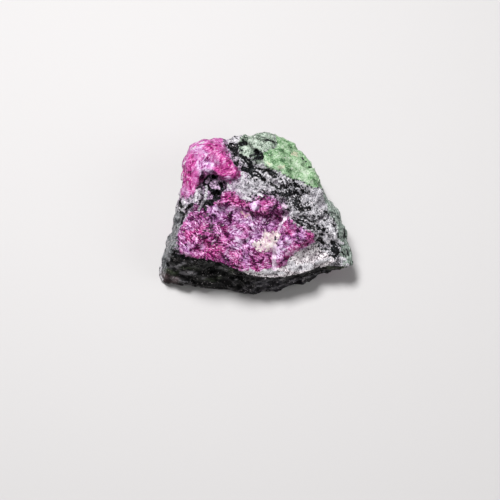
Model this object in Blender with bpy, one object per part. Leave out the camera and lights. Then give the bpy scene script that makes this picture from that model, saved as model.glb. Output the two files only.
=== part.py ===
"""Rough piece of epidote-group rock with ruby in it, the size of a large walnut.

Metres, +Z up. The origin is on the floor, under the middle of the stone's box. -Y is the stone's
lower front, where its steep broken side is, and +X is its thin right-hand corner.
"""

import bmesh
import bpy
from mathutils import Vector, noise

MM = 0.001

# Driving dimensions, in millimetres
FACE_COUNT = 8600
SKIN_SQUARE = 0.42
FLOOR_CALM = 1.2

# The stone's lumps, each the hull of its own corner points (x, y, z) in millimetres. They pass
# through each other, and the creases between them are the stone's own grooves and ledges.
LUMPS = {
    "main_block": [
        # the rim of the broken front, left to right
        (-13.9, -9.1, 9.3),
        (-10.5, -10.5, 9.8),
        (-6.7, -11.3, 9.4),
        (-2.6, -12.6, 8.5),
        (0.6, -13.0, 7.5),
        (3.7, -12.9, 7.0),
        (7.8, -11.9, 6.5),
        (11.1, -10.6, 6.0),
        (13.9, -10.2, 5.3),
        (17.3, -10.3, 4.0),
        # where the front meets the floor
        (-15.5, -11.3, 1.4),
        (-15.2, -11.8, -0.3),
        (-11.5, -12.4, -0.3),
        (-4.7, -12.7, -0.3),
        (-1.4, -13.9, -0.3),
        (3.0, -13.6, 0.0),
        (6.7, -12.2, 1.0),
        (12.5, -10.9, 2.6),
        # left side
        (-14.9, -9.2, 4.8),
        (-13.9, -5.8, 7.0),
        (-12.0, -6.0, 10.3),
        (-11.9, -0.7, 9.4),
        (-11.9, 2.0, 9.2),
        (-13.2, -4.0, -0.3),
        (-12.6, 3.4, 0.4),
        # right side
        (13.8, -4.2, 9.0),
        (15.3, -9.0, 6.0),
        (14.7, -5.9, 5.5),
        (14.3, -2.1, 7.5),
        (12.0, 0.4, 9.2),
        (13.4, -1.5, 1.6),
        (12.0, 3.2, 1.2),
        (14.6, -6.0, 2.4),
        # crest and back
        (-1.6, 2.2, 13.7),
        (1.2, 1.8, 14.6),
        (5.4, 1.3, 14.0),
        (10.8, 0.7, 11.8),
        (10.4, 4.6, 9.4),
        (8.3, 7.8, 9.8),
        (4.9, 10.6, 10.6),
        (1.6, 11.6, 10.6),
        (-4.6, 10.2, 10.9),
        (-10.6, 9.0, 8.4),
        (-11.8, 8.0, 1.0),
        (-8.6, 11.4, 3.0),
        (-7.0, 10.8, -0.3),
        (1.0, 12.9, 4.5),
        (2.4, 12.0, -0.3),
        (7.4, 10.4, 4.6),
        (9.0, 8.6, 0.4),
        (10.9, 5.8, 5.0),
    ],
    "ruby_knob": [
        (-11.7, 6.2, 10.8),
        (-10.5, 8.8, 11.0),
        (-9.0, 10.0, 11.0),
        (-7.2, 10.5, 11.0),
        (-5.5, 10.4, 11.4),
        (-4.9, 8.8, 12.6),
        (-4.1, 6.2, 13.8),
        (-6.6, 2.8, 14.4),
        (-8.2, 2.7, 14.2),
        (-9.6, 4.0, 14.0),
        (-6.9, 6.2, 15.4),
        (-10.6, 7.2, 13.4),
        (-8.8, 9.2, 13.0),
        (-11.6, 6.2, 6.0),
        (-9.0, 9.6, 6.0),
        (-6.0, 9.4, 6.0),
        (-6.5, 4.0, 6.0),
    ],
    "knob_right_arm": [
        (-4.2, 6.2, 14.0),
        (-3.2, 4.6, 14.7),
        (-2.2, 2.9, 14.7),
        (-3.6, 1.3, 14.5),
        (-5.0, 1.2, 14.2),
        (-6.6, 2.7, 14.4),
        (-6.8, 5.6, 15.4),
        (-4.8, 4.4, 15.6),
        (-6.0, 5.4, 8.0),
        (-3.0, 3.0, 8.0),
        (-5.0, 2.2, 8.0),
    ],
    "knob_left_arm": [
        (-12.0, 6.4, 10.8),
        (-12.4, 4.3, 10.3),
        (-12.2, 0.4, 10.1),
        (-11.0, -0.4, 11.6),
        (-9.8, 0.4, 12.6),
        (-9.3, 1.6, 13.2),
        (-9.0, 3.2, 13.8),
        (-9.4, 4.6, 14.0),
        (-11.3, 5.2, 12.8),
        (-11.4, 2.2, 12.3),
        (-12.0, 4.0, 6.0),
        (-10.0, 1.0, 6.0),
        (-9.8, 4.0, 6.0),
    ],
    "grey_spur": [
        (-12.2, -1.2, 10.0),
        (-11.7, -3.0, 11.0),
        (-9.4, -3.0, 12.3),
        (-8.7, -1.9, 12.8),
        (-9.2, -0.5, 13.0),
        (-10.6, -0.2, 12.3),
        (-12.0, 0.6, 10.2),
        (-11.4, -2.0, 6.0),
        (-9.6, -2.2, 6.0),
        (-10.6, -0.4, 6.0),
    ],
    "ruby_ledge": [
        (-6.4, -1.7, 13.4),
        (-5.2, -0.5, 14.1),
        (-1.8, -0.6, 14.7),
        (2.4, -1.0, 14.5),
        (4.8, -2.5, 13.4),
        (5.1, -3.9, 12.8),
        (2.0, -4.3, 13.0),
        (-0.9, -3.9, 13.2),
        (-3.9, -3.4, 13.1),
        (-7.3, -3.0, 12.7),
        (-6.6, -2.4, 8.0),
        (-3.9, -3.0, 8.0),
        (4.3, -3.2, 8.0),
        (2.4, 0.0, 8.0),
        (-5.0, 0.0, 8.0),
    ],
    "ruby_wedge": [
        (5.0, -5.4, 11.9),
        (6.2, -5.0, 11.9),
        (9.7, -6.0, 11.0),
        (10.3, -6.9, 10.4),
        (7.6, -9.0, 9.8),
        (5.4, -10.9, 8.9),
        (3.4, -11.6, 8.7),
        (3.2, -8.0, 11.0),
        (4.4, -11.0, 5.0),
        (9.0, -7.0, 5.0),
        (5.0, -6.0, 5.0),
    ],
    "green_shoulder": [
        (1.1, 3.1, 14.9),
        (2.6, 2.9, 14.9),
        (5.0, 2.7, 14.3),
        (7.5, 2.1, 13.5),
        (10.7, 1.5, 11.9),
        (11.0, 3.6, 10.4),
        (9.7, 6.2, 10.4),
        (8.4, 8.0, 10.6),
        (6.2, 8.8, 11.0),
        (4.9, 9.9, 11.0),
        (3.1, 10.6, 11.1),
        (0.4, 11.5, 11.4),
        (-0.2, 9.6, 12.7),
        (1.0, 7.0, 14.0),
        (3.7, 5.4, 14.7),
        (6.1, 4.4, 14.0),
        (1.0, 6.0, 6.0),
        (8.0, 5.0, 6.0),
        (3.0, 10.0, 6.0),
    ],
    "front_foot": [
        (-3.0, -13.8, -0.3),
        (-2.0, -14.2, 0.8),
        (1.2, -13.9, 4.4),
        (4.4, -13.6, 4.6),
        (8.2, -12.3, 4.4),
        (3.0, -13.5, 0.0),
        (6.8, -12.3, 0.9),
        (9.9, -11.5, 2.5),
        (0.0, -9.0, 3.0),
        (7.0, -8.0, 3.0),
    ],
    "left_foot": [
        (-16.5, -10.7, -0.3),
        (-16.3, -9.9, 3.0),
        (-15.4, -8.9, 4.8),
        (-15.2, -12.0, 2.4),
        (-11.0, -12.6, 2.6),
        (-9.6, -12.7, -0.3),
        (-15.6, -12.0, -0.3),
        (-12.0, -7.0, 1.0),
        (-14.5, -7.2, 4.0),
    ],
}

# Hollows pressed into the skin: centre, reach and depth, in millimetres
HOLLOWS = {
    "notch_by_the_knob": ((-7.2, -0.1, 12.8), 2.5, 1.7),
    "notch_mouth": ((-7.6, -2.4, 12.4), 2.0, 0.7),
    "black_seam_high": ((-3.0, 8.0, 12.6), 2.5, 1.1),
    "black_seam_low": ((-1.2, 5.6, 13.4), 2.5, 1.3),
    "dark_hollow": ((-6.4, -6.2, 11.4), 4.4, 0.7),
    "under_ledge": ((3.2, -5.0, 12.2), 2.6, 0.8),
    "front_scoop": ((-6.0, -12.0, 5.4), 5.0, 0.9),
    "front_right_scoop": ((10.0, -11.0, 4.2), 3.2, 0.5),
    "back_scoop": ((-3.0, 12.0, 6.0), 5.5, 1.0),
    "right_scoop": ((13.0, 1.4, 5.6), 4.0, 0.8),
}

# Broken facets: size of a facet and how far it tips out of the skin, in millimetres
FACETS = ((4.4, 0.50), (1.9, 0.24))

# Slow drift that bends the straight edges between lumps
DRIFT_LENGTH = 5.5
DRIFT = 0.45

# Ledges of the rock's layering
LAYER_NORMAL = Vector((0.10, -0.42, 0.90)).normalized()
LAYER_THICKNESS = 1.7
LAYER_STEP = 0.30


def clear_scene():
    for obj in list(bpy.data.objects):
        bpy.data.objects.remove(obj)


def link(name, mesh):
    obj = bpy.data.objects.new(name, mesh)
    bpy.context.scene.collection.objects.link(obj)
    return obj


def add_hull(block, corners):
    """Adds the closed hull of these corners to the block's mesh."""
    lump = bmesh.new()
    for corner in corners:
        lump.verts.new(Vector(corner) * MM)
    hull = bmesh.ops.convex_hull(lump, input=lump.verts)
    spare = {e for key in ("geom_interior", "geom_unused") for e in hull[key]}
    bmesh.ops.delete(lump, geom=[v for v in spare if isinstance(v, bmesh.types.BMVert)])
    mesh = bpy.data.meshes.new("lump")
    lump.to_mesh(mesh)
    lump.free()
    block.from_mesh(mesh)
    bpy.data.meshes.remove(mesh)


def evaluated_mesh(obj):
    """The mesh as the object's modifiers make it, and the modifiers taken off."""
    graph = bpy.context.evaluated_depsgraph_get()
    made = bpy.data.meshes.new_from_object(obj.evaluated_get(graph))
    obj.modifiers.clear()
    obj.data = made
    return made


def joined_lumps():
    """The lumps as one object, under one skin of small squares."""
    block = bmesh.new()
    for corners in LUMPS.values():
        add_hull(block, corners)
    mesh = bpy.data.meshes.new("stone")
    block.to_mesh(mesh)
    block.free()
    stone = link("stone", mesh)
    skin = stone.modifiers.new("skin", "REMESH")
    skin.mode = "VOXEL"
    skin.voxel_size = SKIN_SQUARE * MM
    evaluated_mesh(stone)
    return stone


def drift(place):
    """How far a point is moved aside, so that no edge between two lumps stays straight."""
    spot = place / DRIFT_LENGTH
    far = Vector((17.3, 5.9, 11.1))
    return Vector((noise.noise(spot), noise.noise(spot + far), noise.noise(spot - far))) * DRIFT


def hollow_depth(place):
    depth = 0.0
    for centre, reach, deepest in HOLLOWS.values():
        near = (place - Vector(centre)).length / reach
        if near < 1:
            depth += deepest * (1 - near * near) ** 2
    return depth


def facet_height(place, size, tip):
    """Height of flat facets: each cell of a Voronoi pattern is one tipped plane."""
    distances, seeds = noise.voronoi(place / size)
    tilt = noise.cell_vector(seeds[0] * 7.31) * 2 - Vector((1, 1, 1))
    return tip * tilt.dot(place / size - seeds[0])


def layer_height(place, normal):
    """Height of the small ledges where the rock's layers break off, most on the broken front."""
    along = place.dot(LAYER_NORMAL) / LAYER_THICKNESS
    along += 0.9 * noise.noise(place / 5.0)
    step = LAYER_STEP * (1 + max(0.0, -normal.y))
    return step * (along % 1.0 - 0.5)


def break_surface(stone):
    mesh = stone.data
    normals = [v.normal.copy() for v in mesh.vertices]
    for vertex, normal in zip(mesh.vertices, normals):
        place = vertex.co / MM
        height = layer_height(place, normal) - hollow_depth(place)
        for size, tip in FACETS:
            height += facet_height(place, size, tip)
        free = min(1.0, max(0.0, place.z / FLOOR_CALM))
        vertex.co = (place + (drift(place) + normal * height) * free) * MM
    mesh.update()


def thin_out(stone):
    """Leaves few, large faces where the stone is flat and small ones along its edges."""
    stone.data.calc_loop_triangles()
    thin = stone.modifiers.new("thin", "DECIMATE")
    thin.ratio = FACE_COUNT / len(stone.data.loop_triangles)
    thin.use_collapse_triangulate = True
    evaluated_mesh(stone)


def keep_largest(body):
    """Drops chips and closed pockets that the remesh leaves, and keeps the stone itself."""
    unseen = set(body.verts)
    pieces = []
    while unseen:
        piece = {unseen.pop()}
        edge = set(piece)
        while edge:
            edge = {e.other_vert(v) for v in edge for e in v.link_edges} - piece
            piece |= edge
        unseen -= piece
        pieces.append(piece)
    pieces.sort(key=len, reverse=True)
    for piece in pieces[1:]:
        bmesh.ops.delete(body, geom=sorted(piece, key=lambda v: v.index))


def set_down(stone):
    """Gives the stone the flat patch that it rests on, and puts the origin under its middle."""
    body = bmesh.new()
    body.from_mesh(stone.data)
    keep_largest(body)
    cut = bmesh.ops.bisect_plane(
        body,
        geom=body.verts[:] + body.edges[:] + body.faces[:],
        plane_co=(0, 0, 0),
        plane_no=(0, 0, 1),
        clear_inner=True,
    )
    rim = [e for e in cut["geom_cut"] if isinstance(e, bmesh.types.BMEdge)]
    bmesh.ops.holes_fill(body, edges=rim)
    keep_largest(body)
    bmesh.ops.triangulate(body, faces=body.faces[:])
    bmesh.ops.recalc_face_normals(body, faces=body.faces[:])
    xs = [v.co.x for v in body.verts]
    ys = [v.co.y for v in body.verts]
    middle = Vector(((min(xs) + max(xs)) / 2, (min(ys) + max(ys)) / 2, 0))
    bmesh.ops.translate(body, verts=body.verts, vec=-middle)
    body.to_mesh(stone.data)
    body.free()


def stone_material():
    material = bpy.data.materials.new("stone")
    material.use_nodes = True
    shader = material.node_tree.nodes["Principled BSDF"]
    shader.inputs["Base Color"].default_value = (0.40, 0.30, 0.36, 1)
    shader.inputs["Roughness"].default_value = 0.55
    shader.inputs["Metallic"].default_value = 0.0
    return material


def main():
    clear_scene()
    stone = joined_lumps()
    break_surface(stone)
    thin_out(stone)
    set_down(stone)
    stone.data.materials.append(stone_material())
    return stone


main()
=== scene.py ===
"""Looks of the rough stone: pink ruby in green, black and white rock.

The stone is one piece. Its CAD solid gets a finer skin, the skin is broken into facets, ledges and
fibres, and each point of it learns which mineral it belongs to. One node material then gives every
mineral its own colours, grain and gloss. Lengths are in millimetres until they go into Blender.
"""

import math

import bpy
import numpy as np
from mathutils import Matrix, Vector, noise
from mathutils.bvhtree import BVHTree


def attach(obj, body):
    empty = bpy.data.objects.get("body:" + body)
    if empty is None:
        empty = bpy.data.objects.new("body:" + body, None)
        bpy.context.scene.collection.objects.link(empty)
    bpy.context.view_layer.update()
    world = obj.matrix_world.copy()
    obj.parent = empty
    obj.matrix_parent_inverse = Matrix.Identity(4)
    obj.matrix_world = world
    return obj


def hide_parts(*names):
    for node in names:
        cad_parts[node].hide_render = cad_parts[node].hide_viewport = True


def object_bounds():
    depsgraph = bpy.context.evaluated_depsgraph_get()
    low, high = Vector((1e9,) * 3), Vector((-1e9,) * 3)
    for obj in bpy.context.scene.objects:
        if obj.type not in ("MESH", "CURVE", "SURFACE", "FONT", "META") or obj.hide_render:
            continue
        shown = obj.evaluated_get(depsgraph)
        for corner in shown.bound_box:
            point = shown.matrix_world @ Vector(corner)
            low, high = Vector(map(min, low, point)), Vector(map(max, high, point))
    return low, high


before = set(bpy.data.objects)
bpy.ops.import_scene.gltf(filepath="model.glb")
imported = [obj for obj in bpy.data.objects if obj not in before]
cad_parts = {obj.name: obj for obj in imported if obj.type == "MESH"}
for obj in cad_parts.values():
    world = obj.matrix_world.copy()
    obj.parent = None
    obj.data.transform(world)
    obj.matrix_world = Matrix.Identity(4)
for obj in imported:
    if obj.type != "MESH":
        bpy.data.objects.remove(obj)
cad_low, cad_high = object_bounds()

MM = 0.001

# The minerals are drawn on a plane that leans back, as seen from a fixed place above the front
TILT = math.radians(68)
EYE_DISTANCE = 276.0
AIM = np.array((-0.93, -5.1, 0.0))
AHEAD = np.array((0.0, math.cos(TILT), -math.sin(TILT)))
ACROSS = np.array((1.0, 0.0, 0.0))
UPWARD = np.array((0.0, math.sin(TILT), math.cos(TILT)))
EYE = AIM - EYE_DISTANCE * AHEAD

# Where the photo's middle is, and how many of its pixels make a millimetre on the drawing
PHOTO_MIDDLE = 250
PIXELS_PER_MM = 5.804

# Sides of the squares of the skin that is broken, and of the skin that is kept
FIRST_SQUARE = 0.165
LAST_SQUARE = 0.196

# Outlines of the minerals, read on the photo, in its pixels
KNOB = [
    (178, 186), (179, 179), (180, 172), (181, 165), (183, 157.5), (185.5, 151.5), (189, 145),
    (196.5, 139.5), (204, 135.5), (213, 134.5), (221, 135.5), (225, 144), (227, 150), (229, 155.5),
    (232, 162), (235.5, 166.5), (242, 172), (240.5, 176.5), (236, 180), (230.5, 182), (225, 181),
    (219, 178), (215, 175), (210, 173.5), (206.5, 175.5), (204, 180), (201, 184), (197, 187.5),
    (194.5, 192), (190, 196), (185, 198), (180.5, 198), (178.5, 192),
]
NOTCH = [
    (203, 183), (205, 178.5), (209, 176), (214, 175.5), (219, 178), (223, 181), (226, 185),
    (225, 191), (221.5, 196.5), (217, 201.5), (211.5, 206.5), (205, 211), (201, 211), (203, 204),
    (206.5, 197.5), (206.5, 190.5), (205, 186.5),
]
SEAM = [
    (227, 141), (233, 141), (238, 143), (239.5, 150), (241.5, 154), (246, 155.5), (250.5, 157),
    (253, 162), (254, 168), (251, 171.5), (247, 174), (243, 172), (240, 168.5), (235.5, 163.5),
    (231.5, 156), (227, 150),
]
PALE_GREEN = [
    (238, 143), (243, 133), (250, 128), (262, 126), (272, 128.5), (276, 140.5), (276.5, 148),
    (268, 149), (263, 152), (262, 158.5), (264, 163), (255, 163), (251, 157), (246, 155.5),
    (241.5, 154), (239.5, 150),
]
GREEN = [
    (263, 152), (268, 149), (276.5, 148), (276, 140.5), (272, 128.5), (281.5, 129.5), (293, 135),
    (304, 144.5), (313.5, 155), (321, 166.5), (326.5, 177), (324.5, 186.5), (312, 186.5),
    (303, 182), (292, 178), (284, 174), (275, 170), (268, 168), (264, 163), (262, 158.5),
]
FACE = [
    (196, 204), (204.5, 208), (211.5, 204), (220, 199.5), (222.5, 192), (232, 191), (236, 195),
    (243, 200), (250, 201), (256, 198.5), (267, 196), (274, 199), (281, 204), (283, 211),
    (282, 219), (279, 228), (276, 245), (275, 258), (275, 267.5), (269.5, 269), (263, 269.5),
    (258, 272.5), (251.5, 272.5), (247.5, 271), (244, 271.5), (240.5, 273), (236, 273),
    (222, 267.5), (208, 263.5), (195, 261), (186, 260), (180, 255), (178, 243), (178, 232),
    (182, 225), (186.5, 218.5), (191, 213),
]
WEDGE = [
    (286, 214), (291, 220), (300, 228), (310, 231), (315, 235), (314, 242), (306.5, 247),
    (298, 251.5), (290, 258), (285, 265), (280, 268), (275, 268), (275, 256), (277.5, 238),
    (281, 226),
]
WHITE_RIM = [
    (275, 268), (285, 265), (292, 258), (302, 250), (314, 243), (320, 250), (330, 256), (334, 261),
    (326, 267), (312, 272), (300, 275), (285, 278), (270.5, 279), (256, 278), (242, 275.5),
    (243, 268.5), (256, 267.5), (266.5, 267.5),
]
RIGHT_SIDE = [
    (322, 186.5), (325, 199), (329, 211), (335, 221), (338, 232), (340, 246), (341, 256),
    (344, 264), (360.5, 276), (360.5, 238.5), (351.5, 209.5), (337, 186), (325.5, 174.5),
]
LEFT_SIDE = [
    (184, 214), (182, 222), (178, 229), (177, 238), (177, 246), (173, 251.5), (170, 260),
    (166, 272), (168.5, 296.5), (139.5, 296.5), (139.5, 250), (157, 227), (168.5, 209.5),
]
FRONT = [
    (173, 251.5), (183, 257), (195, 258), (208, 260), (222, 263), (236, 269), (246, 273),
    (254, 276), (270.5, 277.5), (285, 276.5), (300, 273), (309, 271.5), (316, 267.5),
    (326, 266.5), (334, 265), (343, 266.5), (348, 269), (360.5, 276), (340, 308), (240, 314),
    (157, 308), (166, 272), (170, 260),
]
FOOT = [
    (238, 296), (244, 286), (251.5, 281), (262, 279), (280, 279), (302, 276), (306.5, 282),
    (294, 293), (274, 302), (250, 304.5),
]
CREAM = [
    (264, 232), (268, 230.5), (272, 233), (276.5, 232), (280, 233.5), (278, 239), (276, 246),
    (275, 251), (262, 251), (256, 249), (254, 245), (255, 240.5), (262, 240),
]

# Strokes read the same way: the full width of each one, and the points that it runs through
VEIN_MARKS = [
    (4.4, (286.5, 213), (285, 218.5)), (2.6, (284, 220.5), (280, 224), (278.5, 231)),
    (3, (283, 204.5), (286, 207.5)), (4, (275, 246.5), (274, 261), (274.5, 268.5)),
]
SLIVER_MARKS = [(2.9, (206.5, 186.5), (206.5, 193), (204.5, 199), (202, 204.5), (199, 210.5))]
BLACK_MARKS = [
    (1.4, (203.5, 182), (206, 178), (209, 175.5)), (2.6, (213, 176), (217, 176.5)),
    (1.8, (204, 184.5), (207, 186)), (2.4, (209, 188.5), (213, 190.5)),
    (4.6, (214, 192.5), (219.5, 193)), (1.8, (221, 183), (223, 190)), (3.8, (214.5, 198), (219, 198.5)),
    (5, (205.5, 202.5), (211.5, 202)), (2.8, (203.5, 206.5), (206, 209.5)),
    (1.8, (209.5, 205.5), (214, 205)), (3.4, (230.5, 147), (236, 150)),
    (1.4, (232, 143.5), (236, 144.5), (238, 147)), (3, (235, 152), (235.5, 154)),
    (2, (230.5, 144), (229, 147)), (4.8, (240.5, 143.5), (245.5, 143)),
    (2.6, (243.5, 140.5), (244, 142)), (1.6, (241, 149), (242.5, 150.5)),
    (3.2, (241, 155.5), (246, 159)), (5, (249, 161.5), (251, 167)), (4.2, (243.5, 169), (248.5, 170.5)),
    (2.4, (235, 162.5), (237.5, 165)), (5.4, (256.5, 151.5), (258, 153)),
    (4.4, (255.5, 158.5), (261.5, 157.5)), (2.4, (260.5, 152), (262.5, 156)),
    (2, (250, 155.5), (254.5, 155)), (1, (261, 136.8), (266, 138.2)),
    (1.8, (266.5, 139.8), (270, 140.5), (273.5, 141.5)), (2.4, (302.5, 157.5), (303.5, 159.5)),
    (1.4, (305, 161.5), (306.5, 161)), (1.4, (308.5, 167), (311.5, 167.5)),
    (1.6, (250.5, 173.5), (252.5, 171), (256, 171.5), (261, 175)),
    (2.4, (250.5, 172.5), (252.5, 175.5)), (1.3, (254, 175), (259, 177), (263.5, 180)),
    (1.2, (252, 168.5), (257, 168), (262, 170)),
    (1.8, (264, 171), (268, 170.5), (272, 172.5), (276.5, 174.5)),
    (1.4, (270, 173.5), (273, 177), (276, 177)), (2.2, (331.5, 241.5), (333, 244)),
    (5, (333.5, 248), (336.5, 250.5)), (2.4, (334.5, 256.5), (336.5, 255.5)),
    (1.4, (337, 254), (339.5, 252.5)), (1.2, (340, 245.2), (345, 244.6)),
    (1.4, (341.5, 252.5), (345.5, 256.5)), (1.4, (347, 249.5), (348.5, 255)),
    (1.8, (344, 229), (345, 237)), (1.4, (332, 211.5), (334, 214)),
    (2.8, (172, 254.5), (178, 256), (184, 256)), (1.6, (175, 251), (179, 252.5)),
    (2.6, (167, 263.5), (169, 265.5)), (2.2, (180, 202), (181.5, 207)), (2, (187, 209), (191.5, 205.5)),
    (2.4, (181, 212), (184, 214.5)), (2, (183, 217), (181.5, 223)), (2, (274.7, 237.5), (275.3, 239.5)),
    (1.8, (260.3, 244), (260.7, 245.5)),
]
WHITE_AND_HIGHLIGHT_MARKS = [
    # The first five strokes are a painted highlight, a thin pale fringe along the knob's left and top
    # edge
    (1.4, (179.5, 196), (179.7, 188)), (1, (181.5, 181), (182.8, 174)), (0.8, (184, 164), (186, 160)),
    (1, (191, 149.5), (196, 146)), (1.2, (199, 143.5), (204, 141.5)),
    (3.6, (242.5, 173.5), (242.5, 185)), (2.4, (229, 141.5), (236, 140.5)),
    (2.2, (194, 202), (196, 196), (197, 190)), (1.8, (184, 203.5), (183, 199)),
    (4, (266.5, 174.5), (269, 177.5)), (2, (251, 182), (254, 184.5)), (1.8, (228, 184), (231, 189)),
    (1.6, (237, 191.5), (241, 190.5), (244, 193)), (2.6, (243, 197), (250, 199.5)),
    (1.8, (252, 189.5), (257, 193), (263, 196)), (3.2, (330, 226), (333, 230)),
    (2.4, (334.5, 234), (335.5, 238.5)), (4, (316, 263), (322, 261.5), (329, 259)),
    (3, (289, 263.5), (293, 262.5)), (7, (290, 267), (297, 268.5), (304, 267), (311, 266)),
    (4.4, (264, 271), (270, 272), (275, 272)), (3, (277, 273.5), (283, 273)),
    # The stroke at (250, 270.5) is a painted glint
    (2.8, (250, 270.5), (253.5, 272)), (2.4, (339, 241.5), (343, 243.5)),
    (2.8, (340, 257.5), (345, 259.5)), (2, (346.5, 264), (349.5, 266)), (2, (161, 262), (160.5, 273)),
    (2.8, (160.5, 277), (161.5, 280)),
]
DARK_SPECK_MARKS = [
    (2.2, (263, 178.5), (265.5, 179.5)), (3.2, (271, 183), (272, 185.5)),
    (2.6, (275, 186.5), (278.5, 188.5)), (3.4, (263.5, 190.5), (266, 193)),
    (4.4, (273, 193), (275, 195)), (3.6, (280.5, 194), (284, 195)), (2.4, (293, 179), (294.5, 181)),
    (2.4, (287, 183.5), (291, 184.5)), (3, (295, 184), (299, 186)), (3.8, (282, 186), (286, 188)),
    (4.4, (288, 190), (290, 194)), (4.5, (295, 192), (298, 196)), (5, (303, 191.5), (307.5, 192)),
    (2.6, (300.5, 196), (302, 197.5)), (3.6, (294.5, 201.5), (298.5, 203)),
    (3.6, (298.5, 206.5), (302, 209.5)), (3, (305.5, 208.5), (310, 208.5)),
    (1.6, (318.5, 193.5), (320, 195.5)), (2.6, (320.5, 211), (322, 213.5)),
    (1.8, (324, 211.5), (328.5, 213.5)), (2.6, (301, 216), (305.5, 218)),
    (2.6, (293, 219.5), (299.5, 221.5)), (3.4, (300.5, 225.5), (303, 228.5)),
    (3.4, (308.5, 226), (313, 229)), (4, (317, 227), (320, 229)), (2.4, (323.5, 228.5), (325.5, 230)),
    (2.4, (315, 221.5), (317, 225)), (2.4, (320, 233), (322.5, 236)), (3.4, (321, 239), (322.5, 244)),
    (1.6, (328, 206), (331, 208.5)),
]
PALE_SPECK_AND_GLINT_MARKS = [
    # In the notch and the seam these strokes are mostly painted glints on the black grains; the wider
    # one at (208.5, 195.5) is a pale grey lump. From (264, 185.5) on they are pale grains of the
    # speckled rock
    (3, (208.5, 195.5), (211.5, 198.5)), (1.8, (207, 190), (208, 194)),
    (2.1, (217.5, 195.5), (218, 197)), (1.2, (208, 178.5), (212, 179.8)),
    (1.4, (211.5, 187.5), (215.5, 186), (218.5, 185.8)), (1.2, (210, 183.5), (213, 182), (216, 180)),
    (2.6, (244.5, 164.5), (247, 166)), (3, (240, 161), (242.5, 163.5)),
    (2.2, (236.5, 157.5), (239.5, 157)), (2, (233.5, 148), (235, 148.5)),
    (2, (232.5, 144.5), (235.5, 144)), (2, (233, 160), (235, 163), (238, 166.5)),
    (2, (229.5, 153), (231, 156)), (4.5, (264, 185.5), (269, 187.5)),
    (2.6, (275.5, 180), (278.5, 181.5)), (5.2, (313.5, 191.5), (318.5, 196)),
    (3.8, (304.5, 196), (308.5, 199)), (4.2, (292.5, 212), (298, 214)),
    (2.2, (306, 213.5), (311.5, 211.5), (319, 213.5)), (2.8, (320.5, 221.5), (323.5, 223)),
    (4.2, (324.5, 237), (327, 241)), (1.6, (320.5, 245), (322.5, 246)), (4.2, (321, 203), (322, 206)),
]
RUBY_DARK_AND_SHADOW_MARKS = [
    # The first three strokes are painted shadow under the overhanging ledge; the rest are dark maroon
    # patches of the ruby
    (5.6, (253, 213.5), (262, 214.5), (270, 215.5)), (8, (276, 211.5), (278.5, 215)),
    (3, (273, 206), (279, 208)), (1.8, (263, 226), (267.5, 222.5), (273, 220)),
    (1.8, (259.5, 231), (265.5, 228)), (1.4, (271, 231.5), (274, 233), (277, 230)),
    (1.6, (247, 202.5), (256, 199.5), (267, 197.5)), (2, (247, 206.5), (250, 208.5)),
    (4.6, (229.5, 216), (231, 220)), (2.6, (225, 217.5), (226, 218)), (4.2, (219, 223.5), (222.5, 226)),
    (4.8, (209.5, 225.5), (211.5, 231)), (4.2, (203, 237.5), (208, 241)),
    (3.8, (212, 236.5), (217, 238.5)), (2.2, (209, 243), (214, 243)), (3.6, (225, 231), (226.5, 235)),
    (2.4, (243, 229.5), (244.5, 231)), (1.6, (249, 226), (250.5, 228.5)), (1.4, (246, 235), (247, 236)),
    (2.4, (229, 241.5), (233, 239.5)), (2.6, (204, 209), (205.5, 212.5)), (2, (199, 215), (201.5, 218)),
    (1.6, (206, 214), (209, 217)), (1.8, (197, 236), (199, 236.5)), (2.4, (198, 245), (199, 248.5)),
    (2.2, (190, 251), (196, 249.5)), (2.2, (222, 263.5), (226, 264.5)), (1.8, (228, 263.5), (233, 265)),
    (1.8, (186, 257.5), (200, 258)), (2, (201, 258.5), (207, 261)), (2.2, (221, 266.5), (226, 268)),
    (2.2, (233, 266.5), (242, 268.5)), (2.4, (223, 256), (228, 259)), (1.6, (246.5, 253.5), (252, 257)),
    (1.6, (251.5, 247.5), (254, 250.5), (255.5, 254)), (2.2, (253.5, 260), (255.5, 264.5)),
    (1.6, (257, 255), (261, 253.5), (267, 254.5)), (2, (262, 257.5), (260.5, 262)),
    (2, (256.5, 266), (257.5, 271)), (1.8, (269.5, 258), (271, 263)), (3.4, (285, 257.5), (289, 259)),
    (1.6, (288, 233), (291, 235)), (1.6, (293, 238), (296.5, 236.5)), (1.8, (297, 232.5), (300, 231.5)),
    (1.8, (300.5, 246), (305, 243.5)), (1.4, (294, 250), (299, 247.5)), (3, (188.5, 180), (190.5, 184)),
    (2, (189, 171.5), (189.5, 176)), (2.2, (190.5, 186), (190.5, 188.5)),
    (2.2, (223, 154.5), (225, 152)), (2, (228, 159.5), (231, 164)), (2.2, (209, 145.5), (212, 147.5)),
    (1.6, (193, 161), (197, 160)), (1.6, (205, 160), (208, 158.5)), (1.8, (235.5, 168), (237, 169)),
    (2, (233.5, 177), (235.5, 178)), (1.4, (216, 144.5), (217, 147)),
    (1.4, (219.5, 145), (220.5, 147.5)), (2.2, (239, 196.5), (241, 198)),
    (2.2, (226, 203), (230, 204.5)),
]
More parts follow.
